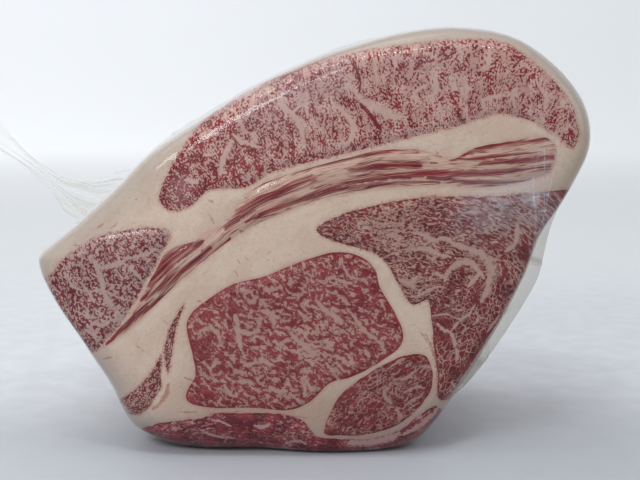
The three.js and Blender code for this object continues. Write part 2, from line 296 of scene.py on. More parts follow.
muscles = {
    "cap_muscle": {
        "outline": [-77, 136, -75, 131, -69, 129, -61, 131.5, -52, 139.5, -33, 141, -22, 147.5, -6, 152.5,
            25, 160, 51, 166.5, 76, 172.5, 92, 177.5, 107, 175, 121, 167.5, 131, 160.5, 134, 167,
            132, 178, 124, 191, 110, 203.5, 96, 212.5, 74, 214, 44, 211, 14, 206, -9, 199, -32, 190,
            -47, 181, -59, 169, -70, 152.5],
        "ragged": 0.5,
        "line": [-82, 128, -50, 155, -10, 173, 40, 184, 90, 192, 135, 168],
        "across": True,
        "veins": [
            (1.1, -39.5, 167.5, -36.5, 164.5, -32.5, 163, -26, 161),
            (1.4, -40, 164, -43, 158.5, -45, 153.5, -46, 147.5),
            (1.3, -16, 183, -11, 178.5, -6, 172, -4.5, 166, -4, 161), (0.8, -10, 178, -7, 181, -5, 186),
            (0.9, -2.5, 188, -3, 182, -2, 176),
            (1.3, 12.5, 182, 17.5, 176.5, 20.5, 172, 19.5, 166, 17, 161.5),
            (2, 21.5, 189.5, 24.5, 185, 30, 182, 37, 177.5, 44, 176),
            (1, 31, 205.5, 31.5, 199.5, 32.5, 193), (1.1, -63, 145, -58, 143),
            (0.9, -29, 189, -30, 182, -32, 177), (1.1, 88, 211, 88, 206, 87, 201, 83, 199),
            (1, 83, 176, 86, 180, 85, 184, 90, 186, 96, 187), (1, 101, 181, 100, 187, 102, 191),
            (1, 61, 197, 62, 192, 60, 187, 55, 186), (0.9, 50, 186, 52, 189, 57, 192),
            (0.8, 71, 212, 74, 208, 74, 202), (1.2, 116, 180, 117, 186, 114, 190),
            (0.8, 76, 184, 77, 189, 76, 194),
        ],
        "threads": [
            (0.5, 22, 198, 24, 193, 23, 187), (1.2, 24, 182.5, 27, 179.5, 31, 174.5, 34.5, 169.5),
            (0.8, 20, 202.5, 22, 199.5, 23.5, 195.5), (0.5, -40, 167, -38, 164, -35, 161),
        ],
        "tone": [(-66, 138, 26, -1.3), (-35, 150, 22, -0.5), (15, 162, 14, -0.5), (110, 180, 26, 0.8),
                 (60, 198, 36, 0.6), (10, 184, 22, 0.7)],
    },
    "flank_muscle": {
        "outline": [-133, 96, -127, 103.5, -110, 115, -98, 118, -86, 120, -76, 120, -71.5, 117.5,
            -73, 113.5, -82.5, 96.5, -93, 78.5, -107, 60.5, -122, 50, -140, 60, -150, 84],
        "ragged": 0.6,
        "line": [-134, 78, -100, 92, -66, 116],
        "across": True,
        "veins": [
            (1.3, -112, 106, -109, 100, -107, 94, -106, 88, -103, 82, -99, 76, -96, 70),
            (1.2, -108, 100, -102, 101, -96, 103, -93, 106),
            (0.9, -93, 105, -88, 106, -83, 107, -79, 110), (0.7, -96, 103, -91, 99, -86, 93, -85, 88),
            (0.8, -116, 90, -113, 86, -111, 82), (0.7, -105, 88, -99, 85, -93, 83),
            (0.6, -124, 94, -122, 90, -116, 88), (0.9, -113, 71, -107, 70, -103, 73),
            (0.9, -117, 68, -113, 65, -109, 63),
        ],
        "tone": [(-98, 92, 9, -0.5), (-118, 84, 14, -0.2), (-80, 114, 12, 0.5)],
    },
    "layered_muscle": {
        "outline": [-107, 58.5, -99.5, 67.5, -92, 75.5, -86.5, 85.5, -78, 101, -73, 109, -58.5, 114,
            -51.5, 118.5, -43, 123, -37, 132, -28, 141, -13, 147, 9, 153.5, 34, 159.5, 55, 159.5, 70, 155,
            81, 160.5, 100, 164, 117, 166, 122.5, 160, 120, 149, 110, 144.5, 86, 141, 66, 142, 40, 141,
            10, 136.5, -8, 131, -34, 119, -54, 104.5, -73, 87.5, -91, 70],
        "ragged": 0.3,
        "line": [-114, 50, -97, 68, -80, 88, -58, 107, -38, 124, -8, 139, 30, 149, 70, 151, 125, 157],
        "threads": [
            (2.2, -43, 121, -36, 127.5, -26, 134.5, -16, 139.5, -6, 143.5, 1.5, 145.5),
            (1.6, -26, 127.5, -11, 133.5, 4, 139, 16.5, 143, 30.5, 146, 49, 147.5,
             68, 148, 86.5, 148, 102, 149.5, 119.5, 151),
            (1.8, 19, 150.5, 26.5, 151.5, 36.5, 152, 46.5, 152.5, 54, 152),
            (1.5, 70, 155, 81.5, 159.5, 94, 162.5, 106.5, 164, 119.5, 165),
            (1.3, 84, 153, 96, 154, 108, 154.5, 121, 156),
            (0.7, -32.5, 139.5, -16, 146.5, 1.5, 151.5, 20, 156, 45, 160, 61.5, 160),
            (0.9, -33.5, 123.5, -21, 129, -6, 134.5, 9, 138.5, 26.5, 141.5, 46.5, 143.5, 64, 143.5),
            (1.2, 58, 146, 74, 144.5, 89.5, 143, 102, 143.5, 109.5, 144.5),
            (0.6, 61.5, 157, 76.5, 155.5, 95.5, 157, 114.5, 158.5),
            (2.9, -82.5, 91.5, -77, 99, -71, 106, -63.5, 110.5, -56.5, 113),
            (1.7, -86.5, 83.5, -78, 89.5, -68, 97, -58.5, 104, -51.5, 110.5),
            (1.5, -105.5, 60, -97.5, 67.5, -89, 75, -80.5, 81.5, -72, 87,
             -62, 96.5, -51.5, 105.5, -41.5, 114.5), (0.7, -103.5, 63, -95, 71.5, -86.5, 79, -80.5, 84.5),
        ],
    },
    "eye_muscle": {
        "outline": [-64, 70, -61.5, 76.5, -52, 84.5, -39.5, 92, -24, 96, -11, 101.5, 3, 106.5, 14, 108.5,
            24.5, 106, 31.5, 100, 34.5, 90, 42, 77, 46.5, 66, 45, 59.5, 32, 49.5, 19.5, 43, 9, 40, -1, 30,
            -11.5, 25.5, -32, 26.5, -53, 26.5, -64, 29.5, -65, 34, -60, 44, -61, 54],
        "ragged": 0.25,
        "line": [-70, 102, -10, 64, 50, 28],
        "veins": [
            (0.95, 19.5, 77.5, 23, 73, 27, 67.5, 31.5, 64, 35.5, 60.5, 37, 56),
            (0.6, 14, 106, 16, 101, 19, 96, 25, 94.5, 28, 92.5),
            (1.4, 2.5, 83.5, 6.5, 79, 12, 75, 15, 72), (1.3, -39, 76, -38, 71, -37.5, 64.5, -36, 58),
            (1, -37, 67.5, -31.5, 66.5, -26.5, 68), (1.1, -25, 78.5, -21, 76.5, -17, 74.5),
            (1.1, -57, 67.5, -52, 69.5, -48, 66.5, -47, 62.5),
            (1.4, -10.5, 66.5, -6, 61.5, -1, 57, 3, 55), (1.3, 7, 58.5, 11, 61.5),
            (1.2, -38, 41, -33, 41, -31, 40), (1.2, -22, 38, -18, 36, -13, 36),
            (0.9, -5, 41, -4, 38, -4, 33), (1, -45, 39, -42, 34, -39, 33),
            (0.7, -33, 50.5, -25, 51.5, -19, 49.5), (1, 27, 58, 29, 54), (0.8, 13, 94.5, 20, 92.5),
            (0.9, 7, 51, 12, 44.5, 14.5, 40),
        ],
        "threads": [
            (0.5, 12, 43, 5, 33),
        ],
        "tone": [(-58, 62, 14, -0.5), (22, 97, 14, -0.5), (38, 66, 12, -0.4), (0, 70, 22, 0.3),
                 (10, 58, 16, 0.3), (-55, 32, 9, -0.3)],
    },
    "side_muscle": {
        "outline": [2, 120, 9.5, 125, 18, 128.5, 37, 133, 56, 136, 95, 136.5, 130, 139, 150, 136,
            142, 110, 128, 82, 112, 55, 94, 34, 76, 28, 66, 30, 64.5, 45, 62.5, 57, 61, 72, 58.5, 83.5,
            51.5, 81, 42.5, 94, 38.5, 101.5, 32.5, 107, 25, 110, 11, 114, 6, 116],
        "ragged": 0.45,
        "line": [0, 124, 40, 114, 75, 108, 97, 96, 98, 70, 80, 40, 68, 10],
        "veins": [
            (1.2, 62, 114.5, 68, 115, 72, 112, 77, 110.5, 83, 109),
            (2.3, 79, 110, 85, 107.5, 89.5, 103, 91, 97.5, 89.5, 92, 88.5, 87),
            (1.1, 89.5, 92, 88, 86, 86, 82),
            (1.4, 67.5, 93.5, 68.5, 97.5, 72, 101, 76, 103, 80.5, 102.5, 84, 99, 87, 95),
            (1, 79.5, 90.5, 82.5, 94, 85, 97), (1.1, 50, 110, 56, 110, 61, 108.5, 66, 106.5, 70, 106),
            (0.9, 61, 97.5, 65, 96, 69, 94), (1.4, 44.5, 94, 49, 92.5, 53, 95.5),
            (0.6, 50, 85, 56, 87, 62, 90, 67, 90.5), (1.2, 103.5, 122, 103.5, 117, 102, 111, 98, 108.5),
            (2.1, 108, 91, 100, 75, 93.5, 62, 86, 49.5, 79, 39, 73, 31), (1.5, 54, 118, 58, 116, 63, 114),
            (0.5, 61, 75, 68, 76, 73, 74, 78, 73),
            (0.9, 64, 71, 67, 68, 71, 66, 73, 60, 74.5, 55, 74.5, 51),
            (0.6, 71, 67, 75, 72, 80, 76, 83, 81), (0.5, 83, 78, 85, 73, 82, 70), (0.7, 72, 40, 74, 36),
            (0.8, 96, 74, 92, 69, 90, 66), (0.5, 71, 79, 75, 78, 78, 79),
        ],
        "tone": [(35, 120, 28, 1), (82, 126, 24, 0.7), (78, 58, 26, -0.6), (88, 80, 20, -0.4),
                 (90, 120, 18, 0.3), (78, 95, 9, -0.4), (75, 34, 20, -0.6)],
    },
    "lower_muscle": {
        "outline": [43, 53, 51, 55, 58, 54, 61.5, 47, 61.5, 37, 57, 28.5, 50, 21, 42, 15.5, 28, 11.5,
            14, 11, 6.5, 12, 7, 18, 10, 25, 13.5, 32, 20, 38.5, 29, 45],
        "ragged": 0.4,
        "line": [8, 14, 35, 32, 64, 50],
        "veins": [
            (1, 40, 38, 37, 36, 38, 32, 41, 29), (0.8, 45, 42, 49, 43, 52, 46),
            (0.6, 55, 49, 60, 48, 62, 47), (0.6, 47, 35, 51, 37, 55, 38, 58, 37),
            (0.6, 48, 28, 52, 31, 57, 33), (1, 43, 26, 46, 22, 45, 19), (0.6, 41, 49, 45, 52, 48, 53),
            (0.5, 34, 26, 41, 27, 47, 26),
        ],
        "tone": [(20, 26, 10, 0.2), (50, 47, 10, -0.2)],
    },
    "rib_muscle": {
        "outline": [-84, 15, -69, 19, -58, 20.5, -52, 23, -31, 23.5, -13, 22.5, -4, 18.5, 1, 12, 6, 9.5,
            14, 9, 28, 8.5, 40, 11, 48, 15, 56, 22, 64, 26, 70, 18, 66, 4, 60, -8, 30, -14, -6, -14,
            -66, -12, -96, 4],
        "ragged": 0.7,
        "line": [-100, 8, -40, 10, 20, 6, 80, 32],
        "veins": [
            (0.6, -54, 20.5, -47, 19, -42, 16.5), (0.7, -58, 14, -49, 10, -40, 9),
            (1, -30, 17, -26, 16, -22, 18), (0.8, -14, 6, -8, 8, -3, 6),
            (2.2, 19, 6.5, 28, 6.5, 38, 8, 45, 11), (1.6, 48, 11, 56, 15.5, 63, 21.5, 68, 27),
        ],
        "tone": [(-76, 13, 12, 0.3), (-38, 18, 14, -0.6), (-10, 15, 11, 0.9), (8, 5, 11, -0.9),
                 (33, 8, 9, 0.9), (57, 20, 9, -0.5)],
    },
    "upper_sliver": {
        "outline": [-65, 81.5, -69.5, 69, -71.5, 58, -73, 50, -74, 45, -76, 52, -75, 61, -72.5, 69],
        "ragged": 0.3,
        "line": [-62, 84, -71, 66, -75, 42],
    },
    "lower_sliver": {
        "outline": [-77, 55, -78, 46, -78, 38, -81, 32, -86, 25, -94, 20, -104, 24, -97, 31, -89, 38,
            -82, 46.5],
        "ragged": 0.4,
        "line": [-76, 58, -82, 38, -100, 18],
    },
}
cut = {
    "runOver": 16,  # the cutters reach this far past the cut faces
    "steps": 16,
    "outlineSteps": 7,
    "edgeDots": 3,  # for each point of an outline, when distances from it are measured
    "lineSteps": 24,
    "lineDots": 600,
    "veinSteps": 6,
    "veinStep": 0.4,
    "veinTip": 0.35,  # share of a vein's width at its ends
    "veinBelly": 0.6,
    "veinTrim": 0.05,
    "far": 9.0,  # closeness to drawn veins isn't measured beyond this many of their widths
    "wobblePitch": 3.5,
    "sway": 1.6,  # how far a muscle wanders sideways behind the cut face
    "swayPitch": 40,
    "swayStart": 4,
    "swaySpan": 30,
    "coverDepth": 22,
    "raggedMuscles": ["cap_muscle", "flank_muscle", "side_muscle", "upper_sliver", "lower_sliver"],
}

# Short red threads in the fat on the cut face
fatThreads = [
    (0.5, -121, 111, -118, 111), (0.6, -109, 120, -106, 122), (0.4, -103, 119, -98, 123),
    (0.5, -90, 134, -88, 135), (0.4, -83, 131, -82, 136), (0.5, -76, 73, -73, 70),
    (0.5, -91, 60, -86, 56), (0.5, -59, 83, -56, 83), (0.5, -66, 43, -59, 40), (0.5, -65, 32, -59, 31),
    (0.5, -71, 24, -59, 24), (0.5, -109, 51, -103, 53), (0.5, -38, 105, -36, 102),
    (0.5, -34, 106, -32, 104), (0.4, -24, 105, -21, 104), (0.5, -39, 99, -37, 95),
    (0.4, -5, 109, -3, 107), (0.4, -31, 111, -28, 108), (0.5, -53, 135, -49, 133),
    (0.6, -52, 128, -49, 122), (0.5, 61, 160, 66, 155, 72, 151), (0.4, 76, 165, 77, 164),
    (0.5, 52, 72, 59, 61, 62, 55, 64, 50, 64, 40), (0.4, -5, 32, -5, 28, -7, 26),
    (0.4, -44, 125, -38, 123), (1.3, -74, 39, -75.5, 33, -78.5, 29, -82.5, 25.5),
    (0.5, -52, 23, -36, 24.5), (0.6, 58, 66, 62, 57, 64, 50), (0.5, -11, 22, -2, 21),
    (0.7, 84, 44, 78, 34, 72, 27, 64, 19),
]


# How far apart the noise of one seed and the next is looked up
seedStep = (13.7, 7.3, 3.1)


# Noise at many places; pitch is the size of its lumps
def lumps(places, pitch, seed=0):
    shift = Vector([seed * step for step in seedStep])
    return np.array([noise.noise(Vector(p) / pitch + shift) for p in places])


def treeOf(points):
    tree = kdtree.KDTree(len(points))
    for i, (x, z) in enumerate(points):
        tree.insert((x, 0, z), i)
    tree.balance()
    return tree


# Distance from each plan point to the nearest of a tree's points, and which one that is
def nearest(tree, plan):
    found = [tree.find((x, 0, z)) for x, z in plan]
    return np.array([f[2] for f in found]), np.array([f[1] for f in found])


def inside(outline, plan):
    x, z = plan.T
    within = np.zeros(len(plan), bool)
    for (ax, az), (bx, bz) in zip(outline, np.roll(outline, -1, axis=0)):
        if az != bz:
            crosses = (az > z) != (bz > z)
            within ^= crosses & (x < (bx - ax) * (z - az) / (bz - az) + ax)
    return within


# A muscle's outline, finely drawn, with a slight wobble so that it looks grown
def muscleOutline(muscle, seed):
    curve = smoothCurve(pairs(muscle["outline"]), cut["outlineSteps"])
    ahead = np.roll(curve, -1, axis=0) - np.roll(curve, 1, axis=0)
    side = np.column_stack([-ahead[:, 1], ahead[:, 0]]) / np.linalg.norm(ahead, axis=1)[:, None]
    flat = np.column_stack([curve[:, 0], np.zeros(len(curve)), curve[:, 1]])
    return curve + side * (lumps(flat, cut["wobblePitch"], seed) * muscle["ragged"])[:, None]


say("drawing the muscles' outlines")
outlines = {name: muscleOutline(muscle, seed) for seed, (name, muscle) in enumerate(muscles.items())}


# Close-set points on the outlines of some muscles, to measure distances from
def edgesOf(names):
    return treeOf(np.vstack([evenly(outlines[name], len(outlines[name]) * cut["edgeDots"])
                             for name in names]))


edgeTree = edgesOf(muscles)


# The muscles stand a little proud of the fat, with soft edges; everything swells gently
def relieve(piece):
    places = readPlaces(piece)
    normals = readNormals(piece)
    plan = onPlan(places)
    edge, _ = nearest(edgeTree, plan)
    within = np.zeros(len(plan), bool)
    for outline in outlines.values():
        within |= inside(outline, plan)
    cutFace = smooth((np.abs(normals[:, 1]) - block["faceFrom"]) / block["faceSpan"])
    proud = np.where(within, block["muscleProud"], 0) * smooth(edge / block["softEdge"])
    proud -= block["groove"] * (1 - smooth(edge / block["softEdge"]))
    swell = block["swell"] * lumps(places, block["swellPitch"], seed=3)
    moved = places + normals * (proud * cutFace + swell)[:, None]
    moved[:, 2] = np.maximum(moved[:, 2], 0)
    movePlaces(piece, moved)


say("raising the muscles")
relieve(blank)


def cutter(name, outline):
    reach = block["depth"] / 2 + cut["runOver"]
    stations = [(1, y) for y in np.linspace(-reach, reach, cut["steps"] + 1)]
    piece = drawnOut(name, outline, stations, block["centre"])
    places = readPlaces(piece)
    behind = places[:, 1] + block["depth"] / 2 - cut["swayStart"]
    behind = smooth(behind / cut["swaySpan"]) * cut["sway"]
    slow = places / (cut["swayPitch"], cut["swayPitch"] / 2, cut["swayPitch"])
    places[:, 0] += behind * lumps(slow, 1, seed=21)
    places[:, 2] += behind * lumps(slow, 1, seed=22)
    movePlaces(piece, drift(places))
    return piece


def keepLargest(piece):
    only(piece)
    editing(True)
    bpy.ops.mesh.select_all(action="SELECT")
    bpy.ops.mesh.separate(type="LOOSE")
    editing(False)
    parts = sorted(bpy.context.selected_objects, key=lambda o: len(o.data.vertices))
    for scrap in parts[:-1]:
        discard(scrap)
    return parts[-1]


def addAttribute(piece, name, values):
    kind = "FLOAT_VECTOR" if values.ndim == 2 else "FLOAT"
    layer = piece.data.attributes.new(name, kind, "POINT")
    layer.data.foreach_set("vector" if values.ndim == 2 else "value", values.ravel())


# How near each point is to drawn veins: 0 on a vein's middle, 1 at its side, more beyond
def closeness(veins, plan):
    if not veins:
        return np.full(len(plan), cut["far"])
    points, widths = [], []
    tip, trim = cut["veinTip"], cut["veinTrim"]
    for half, *flat in veins:
        curve = smoothCurve(pairs(flat), cut["veinSteps"], closed=False)
        length = np.linalg.norm(np.diff(curve, axis=0), axis=1).sum()
        track = evenly(curve, max(3, int(length / cut["veinStep"])), closed=False)
        bulge = np.sin(np.pi * (np.linspace(0, 1, len(track)) * (1 - 2 * trim) + trim))
        points.append(track)
        widths.append(half * (tip + (1 - tip) * bulge ** cut["veinBelly"]))
    distance, which = nearest(treeOf(np.vstack(points)), plan)
    return np.minimum(distance / np.concatenate(widths)[which], cut["far"])


# Along and across a muscle's fibres' line, with the depth: the space its pattern lives in
def grainOf(muscle, plan, depth):
    curve = smoothCurve(pairs(muscle["line"]), cut["lineSteps"], closed=False)
    track = evenly(curve, cut["lineDots"], closed=False)
    run = runOf(track)
    ahead = np.gradient(track, axis=0)
    ahead /= np.linalg.norm(ahead, axis=1)[:, None]
    _, which = nearest(treeOf(track), plan)
    offset = plan - track[which]
    along = run[which] + (offset * ahead[which]).sum(1)
    side = ahead[which][:, 0] * offset[:, 1] - ahead[which][:, 1] * offset[:, 0]
    return np.column_stack([side, along, depth] if muscle.get("across") else [along, side, depth])


def toneOf(spots, plan):
    tone = np.zeros(len(plan))
    for x, z, radius, amount in spots:
        tone += amount * np.exp(-((plan - (x, z)) ** 2).sum(1) / radius ** 2)
    return tone


def mark(piece, muscle):
    places = readPlaces(piece)
    plan = onPlan(places)
    edge, _ = nearest(edgeTree, plan)
    onFront = places[:, 1] < block["fineFrom"]
    addAttribute(piece, "edge", edge)
    for name in ("vein", "thread"):
        drawn = closeness(muscle.get(name + "s"), plan)
        addAttribute(piece, name, np.where(onFront, drawn, cut["far"]))
    addAttribute(piece, "grain", grainOf(muscle, plan, places[:, 1]))
    addAttribute(piece, "tone", toneOf(muscle.get("tone", []), plan))


# In the fat, tone is 1 on the cover just under the bag, and vein is the distance from ragged muscles
def markFat(piece):
    plan = onPlan(readPlaces(piece))
    cover, _ = nearest(treeOf(blockCurve), plan)
    away, _ = nearest(edgesOf(cut["raggedMuscles"]), plan)
    for name, values in (("tone", 1 - smooth(cover / cut["coverDepth"])), ("vein", away)):
        piece.data.attributes[name].data.foreach_set("value", values)


def finishShape(piece):
    only(piece)
    bpy.ops.object.shade_smooth_by_angle(angle=math.radians(block["creaseAngle"]))


pieces = {}
fat = copyOf(blank, "fat_body")
for name, outline in outlines.items():
    tool = cutter(name + "_cutter", outline)
    piece = copyOf(blank, name.replace("_muscle", "") + "_lean")
    modify(piece, "BOOLEAN", operation="INTERSECT", solver="MANIFOLD", object=tool)
    modify(fat, "BOOLEAN", operation="DIFFERENCE", solver="MANIFOLD", object=tool)
    discard(tool)
    pieces[name] = keepLargest(piece)
    mark(pieces[name], muscles[name])
    finishShape(pieces[name])
    say(f"{name}: {len(pieces[name].data.polygons)} faces")
fat = keepLargest(fat)
mark(fat, {"threads": fatThreads, "line": muscles["layered_muscle"]["line"]})
markFat(fat)
finishShape(fat)
pieces["fat"] = fat
say(f"fat: {len(fat.data.polygons)} faces")


# The bag: a film drawn skin-tight over the block, its gathered tail, and the film that
# bridges the hollow in the right flank

film = {
    "voxel": 2.0,
    "gap": 0.35,
    "fineCorner": (92, -60, 92),  # right of, in front of and above this, the mesh is finer
    "fineCuts": 3,
    "sideFrom": 0.8,  # a normal's share along Y from which it no longer belongs to the sides
    "sideSpan": 0.5,
    "sidePleat": 0.7,  # height of the long pleats that run front to back
    "sidePleatPitch": 9,
    "sidePleatLength": 90,
    "sidePleatWidth": 0.16,
    "sidePleatShow": 0.6,
    "pleatStart": 14,  # they begin this far behind the front rim
    "pleatSpan": 30,
    "gatherPitch": 45,
    "gatherGain": 1.6,
    "facePleat": 0.12,
    "facePleatPitch": 7,
    "facePleatLength": 40,
    "pleatHeight": 0.6,
    "pleats": [
        (0.5, 109, 199, 109, 189, 109, 178), (0.6, 117, 170, 116.5, 150, 117, 135, 117, 126, 115, 116),
        (0.6, 114, 160, 112, 150, 111.5, 135, 113, 126, 112, 109, 110, 101),
        (0.5, 111.5, 141, 112, 134, 114, 129, 117, 126), (0.5, 127, 188, 130, 183, 133, 178),
        (0.5, 121, 170, 124, 158, 121, 146, 118.5, 134, 115.5, 120),
        (0.4, 119, 160, 118.5, 144, 118, 130, 116, 112),
    ],
    # hazy patches where the film stands off the meat: middle, radius, amount
    "haze": [(-8, 189, 12, 0.12), (10, 199, 12, 0.1), (-26, 179, 9, 0.09), (84, 131, 12, 0.2),
             (98, 134, 12, 0.24), (112, 139, 8, 0.34), (118, 126, 8, 0.24), (-66, 139, 7, 0.1),
             (60, 206, 18, 0.06), (115, 156, 10, 0.1)],
}


# Noise in lumps that are drawn out along the depth
def longLumps(places, pitch, length, seed):
    return lumps(places * (1 / pitch, 1 / length, 1 / pitch), 1, seed)


# 1 where the values cross 0, falling to 0 on both sides
def ridged(values, width):
    return np.clip(1 - np.abs(values) / width, 0, 1) ** 2


def buildSkin():
    piece = buildBlock("film_skin", film["voxel"])
    right, front, high = film["fineCorner"]
    refine(piece, lambda x, y, z: y < front and x > right and z > high, film["fineCuts"])
    relieve(piece)
    places = readPlaces(piece)
    normals = readNormals(piece)
    plan = onPlan(places)
    onSide = smooth((film["sideFrom"] - np.abs(normals[:, 1])) / film["sideSpan"])
    sharp = ridged(longLumps(places, film["sidePleatPitch"], film["sidePleatLength"], seed=5),
                   film["sidePleatWidth"])
    gathered = np.clip(0.5 + lumps(places, film["gatherPitch"], seed=8) * film["gatherGain"], 0, 1)
    behind = places[:, 1] + block["depth"] / 2 - film["pleatStart"]
    gathered *= smooth(behind / film["pleatSpan"])
    low = longLumps(places, film["facePleatPitch"], film["facePleatLength"], seed=6)
    onFront = places[:, 1] < block["fineFrom"]
    drawn = np.where(onFront, ridged(closeness(film["pleats"], plan), 1), 0)
    height = film["gap"] + onSide * sharp * gathered * film["sidePleat"]
    height += (1 - onSide) * (low + 0.5) * film["facePleat"] + drawn * film["pleatHeight"]
    moved = places + normals * height[:, None]
    moved[:, 2] = np.maximum(moved[:, 2], -film["gap"])
    movePlaces(piece, moved)
    pleat = np.maximum(drawn, onSide * sharp * gathered * film["sidePleatShow"])
    addAttribute(piece, "pleat", pleat)
    addAttribute(piece, "haze", np.where(onFront, toneOf(film["haze"], plan), 0))
    shadeSmooth(piece)
    return piece


say("drawing the film over it")
skin = buildSkin()
say(f"film: {len(skin.data.polygons)} faces")

tail = {
    "path": [(-112, 38, 114), (-139, 34, 123), (-155, 31, 134), (-168, 28, 145), (-190, 25, 164)],
    "width": [23, 11, 4.4, 3.2, 6.5],
    "depth": [17, 9, 4, 3, 3.5],
    "around": 168,
    "along": 110,
    "flutes": 7,
    "fluteShare": 0.13,
    "pleats": 5,
    "pleatShare": 0.05,
    "creaseFrom": 0.88,
    "creaseGain": 8,
    "twist": 0.9,
    "wander": 2.2,
    "wanderRound": 1.6,
    "wanderAlong": 3,
    "pathSteps": 40,
}


def station(values, t):
    at = t * (len(values) - 1)
    low = min(int(at), len(values) - 2)
    ease = (at - low) ** 2 * (3 - 2 * (at - low))
    return values[low] * (1 - ease) + values[low + 1] * ease


# A fluted cone of gathered film that narrows to a twist and opens again
def buildTail():
    angles = 2 * np.pi * np.arange(tail["around"]) / tail["around"]
    ring = np.column_stack([np.cos(angles), np.sin(angles)])
    stations = [(1, y) for y in np.linspace(0, 1, tail["along"] + 1)]
    piece = drawnOut("bag_tail_film", ring, stations, (0, 0))
    flat = readPlaces(piece)
    path = smoothCurve(tail["path"], tail["pathSteps"], closed=False)
    run = np.linspace(0, 1, len(path))
    ahead = np.gradient(path, axis=0)
    ahead /= np.linalg.norm(ahead, axis=1)[:, None]
    places = np.empty_like(flat)
    pleat = np.empty(len(flat))
    for i, (x, t, z) in enumerate(flat):
        t = min(max(t, 0), 1)
        centre = np.array([np.interp(t, run, path[:, k]) for k in range(3)])
        way = np.array([np.interp(t, run, ahead[:, k]) for k in range(3)])
        up = np.array([way[2], 0, -way[0]])
        up /= np.linalg.norm(up)
        twist = tail["twist"] * t
        angle = math.atan2(z, x) + twist
        spot = Vector((math.cos(angle), math.sin(angle), 0)) * tail["wanderRound"]
        wander = tail["wander"] * noise.noise(spot + Vector((0, 0, t * tail["wanderAlong"])))
        crease = math.cos(tail["pleats"] * angle + wander)
        flute = 1 + tail["fluteShare"] * math.cos(tail["flutes"] * (angle - twist) + wander)
        flute += tail["pleatShare"] * (abs(crease) * 2 - 1)
        centre += up * station(tail["width"], t) * flute * math.cos(angle)
        centre[1] += station(tail["depth"], t) * flute * math.sin(angle)
        places[i] = centre
        pleat[i] = max(0, abs(crease) - tail["creaseFrom"]) * tail["creaseGain"]
    movePlaces(piece, places)
    addAttribute(piece, "pleat", pleat)
    shadeSmooth(piece)
    return piece


bridge = {
    "line": [137, 146, 131, 131, 125.5, 116, 122.5, 102, 120, 91, 113.5, 78, 104.5, 63, 96, 50, 86.5, 37,
             77, 27.5, 68, 21],
    "start": -76,
    "end": 62,
    "fullest": -54,
    "sink": 14,
    "across": 120,
    "deep": 90,
    "pleat": 0.28,
    "pleatPitch": 26,
    "pleatLength": 120,
    "pleatWidth": 0.14,
    "lineSteps": 12,
    "lineDots": 400,
}


# A sheet of film held between the cap and the lower edge, sinking into the flank at both ends
def buildBridge():
    bpy.ops.object.select_all(action="DESELECT")
    bpy.ops.mesh.primitive_grid_add(x_subdivisions=bridge["across"], y_subdivisions=bridge["deep"],
                                    size=2 * mm)
    piece = bpy.context.object
    piece.name = "bag_bridge_film"
    piece.data.name = "bag_bridge_film"
    u, v, _ = readPlaces(piece).T
    line = smoothCurve(pairs(bridge["line"]), bridge["lineSteps"], closed=False)
    line = evenly(line, bridge["lineDots"], closed=False)
    at = (u + 1) / 2 * (len(line) - 1)
    x = np.interp(at, np.arange(len(line)), line[:, 0])
    z = np.interp(at, np.arange(len(line)), line[:, 1])
    y = bridge["start"] + (v + 1) / 2 * (bridge["end"] - bridge["start"])
    end = np.where(y < bridge["fullest"], bridge["start"], bridge["end"])
    away = (y - bridge["fullest"]) / (end - bridge["fullest"])
    places = drift(np.column_stack([x - bridge["sink"] * away ** 2, y, z]))
    folds = longLumps(places, bridge["pleatPitch"], bridge["pleatLength"], seed=12)
    ridge = ridged(folds, bridge["pleatWidth"])
    places[:, 0] -= bridge["pleat"] * (1 - ridge)
    movePlaces(piece, places)
    addAttribute(piece, "pleat", ridge)
    shadeSmooth(piece)
    return piece


tailFilm = buildTail()
bridgeFilm = buildBridge()
say("film, tail and bridge are drawn")


# Surfaces. A wire is one socket of a material; sums on wires add the nodes that work them out.

# What a sign between a wire and another value does; turned where the wire stands on the right
def sign(operation, turned=False):
    def act(wire, other):
        return wire.join(operation, *((other, wire) if turned else (wire, other)))
    return act


